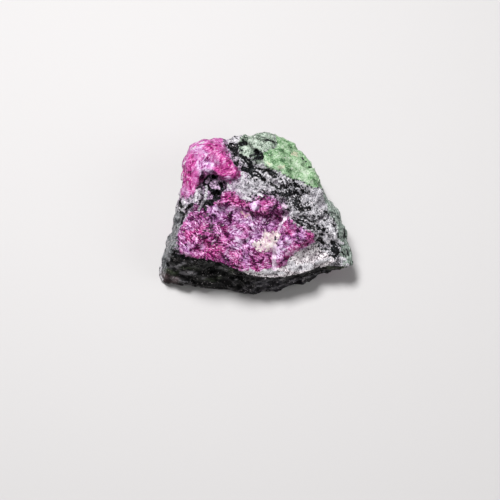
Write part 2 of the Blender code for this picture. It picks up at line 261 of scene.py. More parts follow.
RUBY_HOT_MARKS = [
    (6, (209.5, 146.5), (214, 150.5)), (6, (219, 158), (226, 161.5), (230, 164)),
    (6.5, (218, 170), (224, 172)), (3.5, (231, 171), (238, 173)), (5.5, (191, 156), (192.5, 161)),
    (5.5, (190, 167), (187.5, 176)), (4, (187, 183), (190, 189)), (3, (197, 186), (193.5, 191)),
    (6, (225, 197), (230, 199)), (4.5, (235, 202), (243, 204)), (3, (216, 203), (221, 204)),
    (4, (262, 203), (270, 203)), (3.6, (261, 209), (268, 211)), (5, (198, 229.5), (204, 226)),
    (5, (186, 234), (189.5, 239)), (1.8, (192, 231.5), (201, 232.5)), (3, (223, 226), (226, 229)),
    (4, (209, 248.5), (217, 250.5), (222, 251)), (2.4, (208, 253), (218, 253.5)),
    (4.4, (231, 253.5), (235, 258)), (3.6, (238, 251.5), (241, 254)), (3, (236, 260.5), (241, 262.5)),
    (4, (285, 223.5), (288, 229.5), (291, 234)), (5, (308.5, 234.5), (312, 239.5)),
    (4, (310, 241.5), (303, 244.5), (295, 249)), (4.5, (291, 251.5), (286.5, 255.5)),
    (4, (278, 262), (280, 265)), (3, (253, 268), (256, 270.5)),
]
RUBY_PALE_MARKS = [
    (7, (253.5, 204), (255.5, 208.5)), (3.2, (202, 244.5), (203, 247)),
    (2.2, (187.5, 222), (189, 224.5), (187, 228), (191, 229)), (1.6, (208, 239), (213, 241)),
    (4, (215, 207.5), (223, 208.5)), (3, (212, 211), (217, 213)), (1.8, (232, 214), (236, 212.5)),
    (2.4, (229, 209), (234, 209)), (4.5, (237.5, 239.5), (240.5, 243.5)), (4, (231, 247), (238, 249)),
    (4.5, (247, 222), (254, 226)), (3, (246, 218.5), (253, 219)), (2.4, (241, 221.5), (245, 219.5)),
    (4, (248, 240), (252, 244)), (3.5, (236, 229), (240, 231)), (2.4, (229, 232), (235, 234)),
    # The first stroke on this line, at (262.5, 218), is a painted glint
    (1.8, (262.5, 218), (263.5, 219.5)), (1.6, (228, 251), (233, 253)), (2.6, (184, 247), (188, 252)),
    (2, (180.5, 245), (183, 250)), (1.6, (225, 266), (231, 266.5)),
    (3.6, (197, 162), (199, 168), (201, 175)), (2.6, (196, 149), (202, 145.5)),
    (3.6, (205, 161), (212, 165)), (1.8, (217, 161), (219, 163)), (3.4, (204, 170), (211, 172.5)),
    (1.2, (184, 192), (189, 194)), (1.6, (202, 152), (207, 155)), (2.8, (226, 175.5), (231, 179)),
    (3.2, (279, 240), (282, 248)), (3.4, (286, 238), (290, 243)), (2.8, (301, 230.5), (306, 230)),
    (3, (278, 252), (278, 258)), (1.8, (300, 250), (306, 247.5), (312, 243.5)),
]
GREEN_DEEP_MARKS = [
    (4.5, (285.5, 166), (287, 171), (290, 170)), (3.6, (265, 153), (272, 155)),
    (2.6, (280, 160), (284, 163)), (3.2, (312, 178), (316, 183)), (3, (282, 150), (284, 156)),
    (3.2, (287, 142), (290, 147)), (2, (272, 158), (273, 163)), (2.2, (273, 143), (275, 148)),
]
GREEN_PALE_MARKS = [
    (4.4, (250.5, 140.5), (256, 142)), (3.4, (264.5, 144.5), (270, 145)),
    (3.4, (255, 146.5), (259, 148)), (4.2, (241, 152.5), (247, 155)), (5.5, (300, 169), (307, 174)),
    (4.5, (304, 179), (311, 182)), (4, (266, 161), (271, 166)), (3.6, (278, 166), (283, 168)),
    (3.2, (244, 147.5), (249, 149)), (3, (262, 135.5), (266, 136.5)), (2.4, (282, 146), (286, 144)),
    (4, (293, 160), (298, 165)),
]
WARM_MARKS = [
    (3, (292.5, 153.5), (297, 154)), (2.4, (279, 166.5), (283, 166)), (2, (267, 161), (270, 164)),
    (2.4, (241.5, 212.5), (246, 214.5), (249.5, 215)),
]
FRONT_GREEN_MARKS = [
    (5.5, (167, 270), (176, 272)), (3.6, (184, 267.5), (197, 268.5)),
    (4, (206, 279.5), (214, 280), (220, 278)), (4.5, (329, 267), (340, 268.5), (347, 268)),
    (2.4, (229, 270.5), (232, 271)),
]
FRONT_GREY_MARKS = [
    (2.6, (178, 265.5), (184, 263.5)), (4.5, (169, 266.5), (176, 268)), (4.5, (182, 273.5), (194, 273)),
    (2.4, (172, 278.5), (177, 279)), (2.4, (179, 280), (186, 282)), (1.6, (190.5, 281), (191.5, 286.5)),
    (1.6, (184, 285), (188, 286)), (1.8, (202.5, 278.2), (206, 278.2)),
    # The stroke at (190.7, 261.5) is a painted glint
    (1.4, (190.7, 261.5), (191.7, 261.5)), (1.6, (219, 267.5), (226, 269.5)),
    (1.4, (194, 272), (196, 273)), (1.8, (235, 276.5), (237, 279)), (1.4, (233, 283), (234, 284.5)),
    (2, (231, 290), (233, 292)), (1.3, (238, 292), (246, 286.5), (258, 282), (271, 280), (285, 279.5)),
    (1.3, (262, 290.5), (275, 287.5), (288, 283), (298, 277)),
    (1.2, (252, 290), (258, 286), (268, 284)), (1.4, (300, 279), (312, 275.5), (324, 271)),
]
FRONT_BROWN_MARKS = [(5.5, (163, 275), (167, 280), (175, 281))]

# Areas drawn as outlines, and how softly each one ends
AREAS = {
    "knob": (KNOB, 0.50),
    "face": (FACE, 0.45),
    "wedge": (WEDGE, 0.50),
    "green": (GREEN, 0.55),
    "pale_green": (PALE_GREEN, 0.55),
    "white_rim": (WHITE_RIM, 0.50),
    "left_side": (LEFT_SIDE, 0.50),
    "right_side": (RIGHT_SIDE, 0.55),
    "cream": (CREAM, 0.50),
    "notch": (NOTCH, 0.40),
    "seam": (SEAM, 0.40),
}

# Marks drawn as strokes, first those with worn edges, then those with neat ones
RAGGED_MARKS = {
    "ruby_dark_and_shadow": (RUBY_DARK_AND_SHADOW_MARKS, 0.20),
    "ruby_hot": (RUBY_HOT_MARKS, 0.40),
    "ruby_pale": (RUBY_PALE_MARKS, 0.30),
    "green_deep": (GREEN_DEEP_MARKS, 0.30),
    "green_light": (GREEN_PALE_MARKS, 0.30),
    "warm": (WARM_MARKS, 0.25),
    "front_green": (FRONT_GREEN_MARKS, 0.60),
    "front_brown": (FRONT_BROWN_MARKS, 0.70),
}
NEAT_MARKS = {
    "black": (BLACK_MARKS, 0.12),
    "white": (WHITE_AND_HIGHLIGHT_MARKS, 0.12),
    "vein": (VEIN_MARKS, 0.12),
    "sliver": (SLIVER_MARKS, 0.09),
    "dark_speck": (DARK_SPECK_MARKS, 0.20),
    "pale_speck_and_glint": (PALE_SPECK_AND_GLINT_MARKS, 0.20),
}

# Drawn things that only shift the shade of a mineral
SHADE_MARKS = (
    "notch", "seam", "dark_speck", "pale_speck_and_glint", "green_deep", "green_light",
    "ruby_dark_and_shadow", "ruby_hot", "ruby_pale",
)

# The next four tables hold soft spots on the drawing, in millimetres across and up from its middle.
# Where the ruby is lighter (+) or deeper (-): across, up, reach and amount
RUBY_TONES = [
    (-7.6, 15.0, 2.0, 0.30), (-9.2, 17.6, 1.3, 0.25), (-11.4, 10.2, 1.0, -0.10),
    (-6.7, 17.4, 1.1, -0.35), (-10.4, 13.8, 1.3, -0.40), (-4.8, 13.6, 1.2, -0.90),
    (-6.0, 0.1, 1.4, -0.65), (-3.9, 9.1, 1.1, -0.50), (-1.7, 8.1, 1.2, -0.50),
    # The spots at 7.4 across, 0.2 down and 8.4 across, 1.4 down are painted light: they lift the slope
    # below the wedge, which lies in shade
    (1.7, 6.1, 1.4, 0.15), (4.4, 6.5, 1.4, 0.75), (7.4, -0.2, 1.3, 0.95), (0.7, 7.6, 0.9, 0.45),
    (8.4, -1.4, 1.3, 0.35), (12.6, -0.4, 1.2, -0.25), (8.4, 2.2, 1.0, -0.20), (2.9, 7.9, 0.9, -0.30),
    (8.0, 2.2, 2.0, 0.10), (-6.8, 4.4, 2.6, -0.25), (-0.4, 3.2, 2.8, 0.25), (-2.0, 1.2, 1.8, 0.22),
    (-8.0, 7.0, 1.6, -0.20), (5.2, 0.2, 1.8, 0.45), (2.2, -2.2, 1.8, 0.05), (1.6, 5.6, 1.0, 0.35),
]

# Where the ruby is hot pink (+) or violet (-): across, up, reach and amount
RUBY_HUES = [
    (-6.4, 17.3, 2.2, 0.4), (-10.4, 13.2, 2.6, 0.4), (-3.6, 13.4, 2.2, 0.4),
    (-3.0, 9.0, 2.2, 0.3), (3.2, 7.6, 2.2, -0.15), (-10.6, 2.0, 1.8, 0.3),
    (-6.0, -0.2, 2.2, 0.6), (-2.6, -1.2, 1.6, 0.3), (-5.7, 6.3, 2.4, -0.7),
    (1.0, 2.4, 1.2, -0.7), (-4.1, -1.3, 1.0, -0.8), (8.6, 2.4, 1.1, -0.8), (-11.4, 2.4, 0.6, -0.6),
    (-10.7, 0.7, 1.0, -0.5), (-1.0, -1.3, 1.2, -0.6), (2.8, 4.1, 1.8, -0.6), (5.2, 0.4, 2.0, -0.4),
    (-2.1, 1.4, 1.8, -0.25), (-2.4, 5.9, 1.2, -0.5), (2.2, -2.2, 1.8, 0.3), (-7.6, 15.0, 1.6, -0.3),
    (7.4, -0.2, 1.2, 0.8),
]

# Where the speckled rock is blacker (+) or whiter (-): across, up, reach and amount
BLACK_SHARES = [
    (4.5, 9.9, 1.8, 0.02), (8.6, 9.2, 2.8, 0.05), (10.0, 5.6, 2.8, 0.07), (12.0, 1.6, 2.0, 0.01),
    (1.4, 10.4, 1.8, -0.04), (-2.4, 10.4, 2.4, -0.12), (12.2, 7.8, 1.8, -0.12),
    (11.2, 10.6, 1.6, -0.15), (12.8, 0.2, 1.6, 0.05), (2.4, 12.2, 2.0, -0.02),
    (-12.2, 7.8, 1.6, 0.04), (-10.6, 8.4, 1.2, -0.01),
]

# Places where the skin is pushed in (+) or out (-): across, up, reach and depth
DENTS = [
    (-12.3, 14.8, 0.7, 0.6), (-7.2, 12.8, 1.0, -0.5), (-5.2, 12.6, 1.0, -0.4), (-14.6, -0.6, 1.5, -0.3),
    (15.0, 6.5, 1.2, -0.4), (17.0, 1.8, 2.0, 0.4), (9.0, -1.8, 1.4, -0.4),
]

# Ruby that shows on the back, the ends and the underside: centre and reach, in millimetres
HIDDEN_RUBIES = [
    ((-9.5, 10.5, 6.5), 4.6), ((-14.0, -2.0, 3.0), 3.0), ((4.5, 12.5, 3.0), 3.2),
    ((12.5, -8.5, 1.5), 2.6), ((-6.0, -4.0, 0.0), 4.0), ((-1.0, 5.0, 0.0), 3.0),
]

# How the rock splits and how its fibres run
LAYER_NORMAL = (0.10, -0.42, 0.90)
LAYER_THICKNESS = 0.8
KNOB_FIBRES = (-0.45, -0.80, 0.0)
LEFT_FIBRES = (-0.20, -0.75, -0.62)
RIGHT_FIBRES = (0.32, -0.82, -0.46)
FRONT_FIBRES = (1.0, -0.05, -0.06)

# The skin's relief fades out towards the floor from this height
CALM_HEIGHT = 0.8

# Colours of the minerals from dark to light, each after its place on the ramp
HOT_RUBY = [
    (0.04, (54, 6, 42)), (0.24, (112, 18, 80)), (0.42, (172, 46, 124)),
    (0.58, (202, 92, 162)), (0.76, (216, 144, 196)), (0.98, (234, 200, 228)),
]
COOL_RUBY = [
    (0.04, (46, 8, 44)), (0.24, (92, 36, 84)), (0.42, (140, 78, 134)),
    (0.58, (172, 116, 170)), (0.76, (202, 158, 204)), (0.98, (232, 210, 236)),
]
KNOB_RUBY = [
    (0.04, (104, 12, 74)), (0.24, (154, 38, 114)), (0.42, (190, 72, 146)),
    (0.58, (200, 106, 168)), (0.76, (204, 142, 188)), (0.98, (216, 180, 210)),
]
WHITE_GRAINS = [
    (0.05, (62, 62, 66)), (0.35, (132, 130, 136)), (0.60, (181, 178, 184)),
    (0.90, (228, 225, 229)),
]
BLACK_GRAINS = [(0.2, (1, 1, 2)), (0.6, (8, 9, 11)), (0.95, (66, 72, 76))]
GREEN_SUGAR = [
    (0.10, (56, 86, 58)), (0.32, (100, 138, 96)), (0.52, (138, 170, 132)),
    (0.72, (164, 190, 158)), (0.92, (190, 208, 184)),
]
PALE_SUGAR = [
    (0.16, (18, 26, 22)), (0.34, (72, 88, 74)), (0.52, (124, 138, 124)), (0.85, (190, 204, 190)),
]
LEFT_ROCK = [
    (0.30, (34, 36, 38)), (0.42, (90, 92, 94)), (0.54, (128, 129, 132)), (0.72, (168, 168, 170)),
]
RIGHT_ROCK = [
    (0.30, (18, 28, 22)), (0.40, (82, 94, 86)), (0.50, (126, 138, 130)),
    (0.62, (162, 174, 166)), (0.76, (196, 208, 198)),
]
# The front and the foot: dark rock, painted near black so that it also carries the shade that falls on
# these faces
FRONT_ROCK_AND_SHADE = [(0.40, (1, 1, 2)), (0.56, (4, 4, 5)), (0.68, (15, 17, 14)), (0.82, (78, 78, 76))]
FOOT_ROCK_AND_SHADE = [(0.32, (3, 3, 5)), (0.48, (14, 12, 18)), (0.62, (36, 31, 42)), (0.78, (76, 68, 84))]
RIM_ROCK = [
    (0.06, (44, 38, 44)), (0.26, (142, 130, 138)), (0.50, (214, 205, 210)),
    (0.76, (248, 243, 245)),
]
CREAM_GRAINS = [
    (0.06, (176, 122, 164)), (0.28, (214, 180, 202)), (0.52, (222, 208, 198)),
    (0.80, (234, 228, 230)),
]
VEIN_GRAINS = [(0.1, (176, 136, 172)), (0.45, (220, 194, 216)), (0.8, (242, 230, 242))]

# Colours laid over the minerals
RUBY_STAIN = (255, 220, 252)
WARM_STAIN = (214, 196, 176)
FRONT_GREEN = (66, 74, 56)
FRONT_GREY = (122, 120, 124)
FRONT_BROWN = (112, 94, 96)
# Painted shade, laid darkest in the pits and hollows of the skin
PAINTED_PIT_SHADE = (118, 98, 118)
# A painted highlight, laid along the ridges of the skin
PAINTED_EDGE_HIGHLIGHT = (255, 244, 255)

# The floor, its side in metres, and the light of the room
FLOOR_SIDE = 3.0
FLOOR_COLOUR = (200, 198, 198)
ROOM_LIGHT = 0.10


def smooth_step(low, high, value):
    share = np.clip((value - low) / (high - low), 0, 1)
    return share * share * (3 - 2 * share)


def link(name, data):
    obj = bpy.data.objects.new(name, data)
    bpy.context.scene.collection.objects.link(obj)
    return obj


def skin_over(stone, square):
    """Puts a closed skin of squares of this size over the stone."""
    skin = stone.modifiers.new("skin", "REMESH")
    skin.mode = "VOXEL"
    skin.voxel_size = square * MM
    graph = bpy.context.evaluated_depsgraph_get()
    made = bpy.data.meshes.new_from_object(stone.evaluated_get(graph))
    stone.modifiers.clear()
    stone.data = made


def places_of(mesh):
    values = np.empty(len(mesh.vertices) * 3, np.float32)
    mesh.vertices.foreach_get("co", values)
    return values.reshape(-1, 3).astype(float) / MM


def normals_of(mesh):
    values = np.empty(len(mesh.vertices) * 3, np.float32)
    mesh.vertex_normals.foreach_get("vector", values)
    return values.reshape(-1, 3).astype(float)


def put_back(mesh, places):
    mesh.vertices.foreach_set("co", (places * MM).astype(np.float32).ravel())
    mesh.update()


def averaged(mesh, values, rounds):
    """The values, each blended with its neighbours this many times."""
    ends = np.empty(len(mesh.edges) * 2, np.int32)
    mesh.edges.foreach_get("vertices", ends)
    first, second = ends.reshape(-1, 2).T
    count = np.bincount(ends, minlength=len(values))[:, None]
    for _ in range(rounds):
        total = np.stack(
            [
                np.bincount(first, column[second], len(values))
                + np.bincount(second, column[first], len(values))
                for column in values.T
            ],
            axis=1,
        )
        values = 0.5 * values + 0.5 * total / count
    return values


def cloud(places, size, seed):
    """Smooth noise from about -1 to 1, with blobs of this size."""
    shift = Vector((seed, 2.3 * seed, -1.7 * seed))
    return np.array([noise.noise(Vector(p) / size + shift) for p in places])


def stretched(places, direction, longer):
    """The places with lengths along one direction shrunk, so that noise grows long there."""
    along = np.array(direction) / np.linalg.norm(direction)
    return places + np.outer(places @ along, along) * (1 / longer - 1)


def facets(places, size, slope, seed):
    """Height of broken facets of this size, which lean by up to this slope."""
    shift = Vector((seed, -1.9 * seed, 2.7 * seed))
    heights = np.empty(len(places))
    for i, p in enumerate(places):
        spot = Vector(p) / size + shift
        middle = noise.voronoi(spot)[1][0]
        lean = noise.cell_vector(middle * 7.31) * 2 - Vector((1, 1, 1))
        heights[i] = lean.dot(spot - middle)
    return heights * size * slope


def on_drawing(places):
    """Where each point is on the drawing, across and up from its middle."""
    away = places - EYE
    scale = EYE_DISTANCE / (away @ AHEAD)
    return (away @ ACROSS) * scale, (away @ UPWARD) * scale


def depth_behind(mesh, places):
    """How far each point lies behind the surface that faces the drawing's eye."""
    squares = [tuple(p.vertices) for p in mesh.polygons]
    tree = BVHTree.FromPolygons([Vector(p) for p in places], squares)
    eye = Vector(EYE)
    depths = np.zeros(len(places))
    for i, p in enumerate(places):
        away = Vector(p) - eye
        hit = tree.ray_cast(eye, away.normalized())
        if hit[3] is not None:
            depths[i] = max(0.0, away.length - hit[3])
    return depths


def drawn(points):
    """Points read on the photo, as places on the drawing to a tenth of a millimetre."""
    middle = PHOTO_MIDDLE
    scale = PIXELS_PER_MM
    return [(round((x - middle) / scale, 1), round((middle - y) / scale, 1)) for x, y in points]


def distance_to_line(points, across, up):
    """Distance from a line through these points of the drawing."""
    nearest = np.full(len(across), 1e9)
    for (ax, ay), (bx, by) in zip(points, points[1:]):
        dx, dy = bx - ax, by - ay
        length = dx * dx + dy * dy + 1e-9
        along = np.clip(((across - ax) * dx + (up - ay) * dy) / length, 0, 1)
        nearest = np.minimum(nearest, np.hypot(across - ax - along * dx, up - ay - along * dy))
    return nearest


def region(outline, across, up, soft):
    """1 inside the outline, 0 outside, with a soft edge."""
    inside = np.zeros(len(across), bool)
    closed = drawn(outline + outline[:1])
    for (ax, ay), (bx, by) in zip(closed, closed[1:]):
        crosses = (ay > up) != (by > up)
        with np.errstate(divide="ignore", invalid="ignore"):
            edge = (bx - ax) * (up - ay) / (by - ay) + ax
        inside ^= crosses & (across < edge)
    distance = distance_to_line(closed, across, up)
    return smooth_step(-soft, soft, np.where(inside, distance, -distance))


def spots(table, across, up):
    """The sum of soft round spots on the drawing."""
    total = np.zeros(len(across))
    for x, y, reach, amount in table:
        total += amount * np.exp(-((across - x) ** 2 + (up - y) ** 2) / reach**2)
    return total


def strokes(table, across, up, soft):
    """1 on the strokes of the table, 0 off them."""
    share = np.zeros(len(across))
    for width, *points in table:
        half_width = round(width / 2 / PIXELS_PER_MM, 2)
        distance = distance_to_line(drawn(points), across, up)
        share = np.maximum(share, smooth_step(half_width + soft, half_width - soft, distance))
    return share


def hidden_ruby(places, wobble):
    share = np.zeros(len(places))
    for centre, reach in HIDDEN_RUBIES:
        distance = np.linalg.norm(places - np.array(centre), axis=1)
        share = np.maximum(share, smooth_step(0.1, -0.1, distance / reach - 1 + 0.5 * wobble))
    return share


def areas_and_marks(across, up, places):
    """The shares of the minerals and marks that are drawn, by name, with edges worn by noise."""
    wide = cloud(places, 1.3, 3.1)
    wide_up = cloud(places, 1.3, 5.9)
    fine = cloud(places, 0.45, 8.7)
    fine_up = cloud(places, 0.45, 21.3)
    ragged = (across + 0.30 * wide + 0.30 * fine, up + 0.30 * wide_up + 0.30 * fine_up)
    neat = (across + 0.14 * fine, up + 0.14 * fine_up)
    wavy = (neat[0], neat[1] + 0.16 * wide_up + 0.10 * fine)
    shares = {name: region(outline, *ragged, soft) for name, (outline, soft) in AREAS.items()}
    for name, (table, soft) in RAGGED_MARKS.items():
        shares[name] = strokes(table, *ragged, soft)
    for name, (table, soft) in NEAT_MARKS.items():
        shares[name] = strokes(table, *neat, soft)
    shares["front"] = region(FRONT, *wavy, 0.15)
    shares["foot"] = region(FOOT, *wavy, 0.15)
    shares["front_grey"] = strokes(FRONT_GREY_MARKS, ragged[0], neat[1], 0.3)
    dusty = [region(outline, *ragged, 1.8) for outline in (KNOB, NOTCH, FACE)]
    shares["ruby_dust"] = np.clip(2 * np.max(dusty, axis=0), 0, 1)
    return shares


def fill_hidden_sides(minerals, hidden, places, patch):
    """Spreads ruby, green and grey rock over the sides that the drawing doesn't show."""
    slow = cloud(places, 4.0, 1.7)
    behind = hidden_ruby(places, slow) * hidden
    rock = hidden * (1 - behind)
    grey = rock * smooth_step(-0.15, 0.05, patch)
    green = rock * smooth_step(0.22, 0.34, slow)
    minerals["behind"] = behind
    minerals["face"] = np.maximum(minerals["face"], behind)
    minerals["right_side"] = np.maximum(minerals["right_side"], grey)
    minerals["green"] = np.maximum(minerals["green"], green)


def mineral_map(mesh, places):
    """Which mineral each point belongs to, and its shade there, by name."""
    across, up = on_drawing(places)
    hidden = smooth_step(0.5, 2.5, depth_behind(mesh, places) + 0.5 * cloud(places, 1.3, 3.1))
    seen = 1 - hidden
    shares = areas_and_marks(across, up, places)
    shares = {name: share * seen for name, share in shares.items()}
    minerals = {name: share for name, share in shares.items() if name not in SHADE_MARKS}
    minerals["tone"] = (
        spots(RUBY_TONES, across, up) * seen
        - 1.3 * shares["ruby_dark_and_shadow"]
        + 0.05 * shares["ruby_hot"]
        + 0.9 * shares["ruby_pale"]
        + 0.8 * shares["green_light"]
        - 0.9 * shares["green_deep"]
    )
    minerals["hue"] = (
        spots(RUBY_HUES, across, up) * seen
        + 0.9 * shares["ruby_hot"]
        - 0.5 * shares["ruby_pale"]
        + 0.3 * shares["ruby_dark_and_shadow"]
    )
    patch = cloud(places, 2.2, 13.9)
    dark_rock = np.maximum(0.3 * shares["notch"], shares["seam"])
    minerals["black_share"] = (
        0.38
        + 0.07 * patch
        + spots(BLACK_SHARES, across, up) * seen
        + 0.10 * dark_rock
        + 0.20 * shares["dark_speck"]
        - 0.26 * shares["pale_speck_and_glint"]
        + 0.8 * shares["black"]
        - 0.8 * shares["white"]
    )
    fill_hidden_sides(minerals, hidden, places, patch)
    return minerals


def relief_of(places, minerals):
    """How far each point is pushed out, in millimetres."""
    knob = minerals["knob"]
    green = minerals["green"]
    sides = np.maximum(minerals["left_side"], minerals["right_side"])
    ruby = np.clip(knob + minerals["face"] + minerals["wedge"], 0, 1)

    # Broken facets, calmer on the softer minerals
    rough = 1 - 0.15 * ruby - 0.45 * knob - 0.35 * green - 0.3 * sides
    rough = rough * (1 - 0.6 * minerals["cream"])
    relief = rough * facets(places, 2.1, 0.30, 4.0)
    relief += rough * facets(places, 0.95, 0.26, 9.0)
    relief += facets(places, 0.5, 0.14, 2.0)

    # Thin layers, cracks and pits
    layer = places @ np.array(LAYER_NORMAL) / LAYER_THICKNESS + 0.9 * cloud(places, 2.6, 2.0)
    relief += (0.12 * ruby + 0.26 * minerals["front"]) * (layer % 1.0 - 0.5)
    crack_noise = cloud(stretched(places, (1, -0.4, -0.2), 1.6), 1.3, 44.0)
    relief -= 0.14 * smooth_step(0.07, 0.0, np.abs(crack_noise)) * (1 - 0.7 * green)
    pits = smooth_step(0.25, 0.50, cloud(places, 0.7, 31.0))
    relief -= 0.14 * pits * (1 - 0.6 * ruby) * (1 - 0.8 * green)

    # Fibres, raised and sunken marks, and dents
    relief += 0.12 * knob * cloud(stretched(places, KNOB_FIBRES, 5.0), 0.34, 6.0)
    relief += 0.10 * minerals["left_side"] * cloud(stretched(places, LEFT_FIBRES, 8.0), 0.4, 7.0)
    relief += 0.10 * minerals["right_side"] * cloud(stretched(places, RIGHT_FIBRES, 8.0), 0.4, 8.0)
    relief += 0.22 * minerals["sliver"] + 0.08 * minerals["vein"] + 0.10 * minerals["front_grey"]
    relief += 0.07 * minerals["white"] - 0.16 * minerals["black"]
    return relief - spots(DENTS, *on_drawing(places))


def break_skin(mesh, places, minerals):
    """The places of the skin once it is broken. It stays flat on the floor and inside the CAD box."""
    above_floor = np.clip(places[:, 2] / CALM_HEIGHT, 0, 1)
    push = (relief_of(places, minerals) - 0.03) * above_floor
    moved = places + normals_of(mesh) * push[:, None]
    return np.clip(moved, np.array(cad_low) / MM, np.array(cad_high) / MM)


def hollows(mesh, places):
    """How deep each point lies among its neighbours, near and wide, in millimetres."""
    near = averaged(mesh, places, 8)
    wide = averaged(mesh, near, 45)
    normals = averaged(mesh, normals_of(mesh), 4)
    depth_near = np.einsum("ij,ij->i", near - places, normals)
    depth_wide = np.einsum("ij,ij->i", wide - places, normals)
    return depth_near, depth_wide


def keep_values(mesh, values):
    for name, numbers in values.items():
        layer = mesh.attributes.new(name, "FLOAT", "POINT")
        layer.data.foreach_set("value", numbers.astype(np.float32))


def colour(red, green, blue):
    """A colour as seen on a screen, 0 to 255, as the light that Blender works in."""
    linear = []
    for part in (red, green, blue):
        part /= 255
        linear.append(part / 12.92 if part <= 0.04045 else ((part + 0.055) / 1.055) ** 2.4)
    return (*linear, 1.0)


class Recipe:
    """Short ways to write the nodes of one material."""

    def __init__(self, name):
        self.material = bpy.data.materials.new(name)
        self.material.use_nodes = True
        self.tree = self.material.node_tree
        self.tree.nodes.clear()

    def add(self, kind, inputs=None, **settings):
        node = self.tree.nodes.new(kind)
        for key, value in settings.items():
            setattr(node, key, value)
        for key, value in (inputs or {}).items():
            if isinstance(value, bpy.types.NodeSocket):
                self.tree.links.new(value, node.inputs[key])
            else:
                node.inputs[key].default_value = value
        return node

    def math(self, operation, first, second=0.0, third=0.0, clamp=False):
        inputs = {0: first, 1: second, 2: third}
        return self.add("ShaderNodeMath", inputs, operation=operation, use_clamp=clamp).outputs[0]

    def plus(self, *terms, start=0.0, clamp=False):
        """The start plus the terms, each a socket or a pair of a socket and a factor."""
        total = start
        for index, term in enumerate(terms):
            socket, factor = term if isinstance(term, tuple) else (term, 1.0)
            last = index == len(terms) - 1
            total = self.math("MULTIPLY_ADD", socket, factor, total, clamp=clamp and last)
        return total

    def around(self, *pairs, start=0.0, clamp=False):
        """The start plus patterns from 0 to 1, each shifted to lie around 0 and then scaled."""
        start -= 0.5 * sum(factor for _, factor in pairs)
        return self.plus(*pairs, start=start, clamp=clamp)

    def times(self, first, second):
        return self.math("MULTIPLY", first, second)

    def vector(self, operation, first, second=(0, 0, 0)):
        return self.add("ShaderNodeVectorMath", {0: first, 1: second}, operation=operation).outputs[0]

    def scaled(self, vector, factor):
        node = self.add("ShaderNodeVectorMath", {0: vector, "Scale": factor}, operation="SCALE")
        return node.outputs[0]

    def value(self, name):
        return self.add("ShaderNodeAttribute", attribute_name=name).outputs["Fac"]

    def ramp(self, share, stops):
        node = self.add("ShaderNodeValToRGB", {"Fac": share})
        marks = node.color_ramp.elements
        while len(marks) < len(stops):
            marks.new(0.5)
        for mark, (place, shade) in zip(marks, stops):
            mark.position = place
            mark.color = colour(*shade)
        return node.outputs["Color"]

    def mix(self, share, first, second, blend="MIX"):
        inputs = {0: share, 6: first, 7: second}
        return self.add("ShaderNodeMix", inputs, data_type="RGBA", blend_type=blend).outputs[2]

    def stretched(self, place, direction, longer):
        """The place with lengths along one direction shrunk, so that grains grow long there."""
        node = self.add("ShaderNodeVectorMath", {0: place, 1: direction}, operation="DOT_PRODUCT")
        amount = self.times(node.outputs["Value"], 1 / longer - 1)
        return self.vector("ADD", place, self.scaled(direction, amount))

    def noise(self, place, size, detail=2.0):
        inputs = {"Vector": place, "Scale": 1 / size, "Detail": detail, "Roughness": 0.6}
        return self.add("ShaderNodeTexNoise", inputs).outputs[0]

    def cells(self, place, size):
        """Two random numbers and a random direction, the same all over each grain."""
        node = self.add("ShaderNodeTexVoronoi", {"Vector": place, "Scale": 1 / size})
        parts = self.add("ShaderNodeSeparateColor", {"Color": node.outputs["Color"]})
        return parts.outputs[0], parts.outputs[1], node.outputs["Color"]

    def laid(self, block, angle, spread):
        """A direction on the drawing, in degrees, turned by up to half the spread in each block."""
        turn = self.plus((block, math.radians(spread)), start=math.radians(angle - spread / 2))
        across = self.scaled(tuple(ACROSS), self.math("COSINE", turn))
        upward = self.scaled(tuple(UPWARD), self.math("SINE", turn))
        return self.vector("ADD", across, upward)

    def thin_lines(self, place, size, thin):
        """1 along thin winding lines, 0 between them."""
        away = self.math("ABSOLUTE", self.around((self.noise(place, size), 1.0)))
        return self.plus((away, -1 / thin), start=1.0, clamp=True)


def unit(direction):
    return tuple(Vector(direction).normalized())


